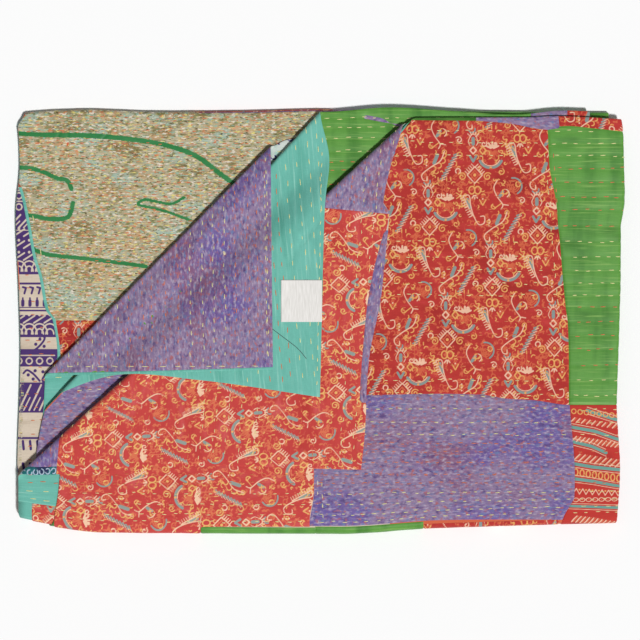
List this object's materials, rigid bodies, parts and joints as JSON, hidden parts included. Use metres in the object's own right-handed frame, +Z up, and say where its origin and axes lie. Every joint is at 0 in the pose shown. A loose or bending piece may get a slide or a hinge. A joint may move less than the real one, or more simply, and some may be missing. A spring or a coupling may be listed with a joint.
{
  "type": "kantha quilt",
  "caption": "Patchwork quilt with running stitch, folded into a flat bundle with its open corners turned back and a blank cloth label.",
  "frame": {"origin": "on the surface under the middle of the folded quilt's box", "axes": "+X along the longer side of the folded quilt, +Y towards its open end with the turned-back corners, +Z up"},
  "size_m": [0.7653, 0.536, 0.0347],
  "materials": {
    "patchwork": "matte printed cotton",
    "label": "smooth woven tape"
  },
  "bodies": {
    "root": {"quilt": "patchwork", "label": "label"}
  },
  "joints": []
}
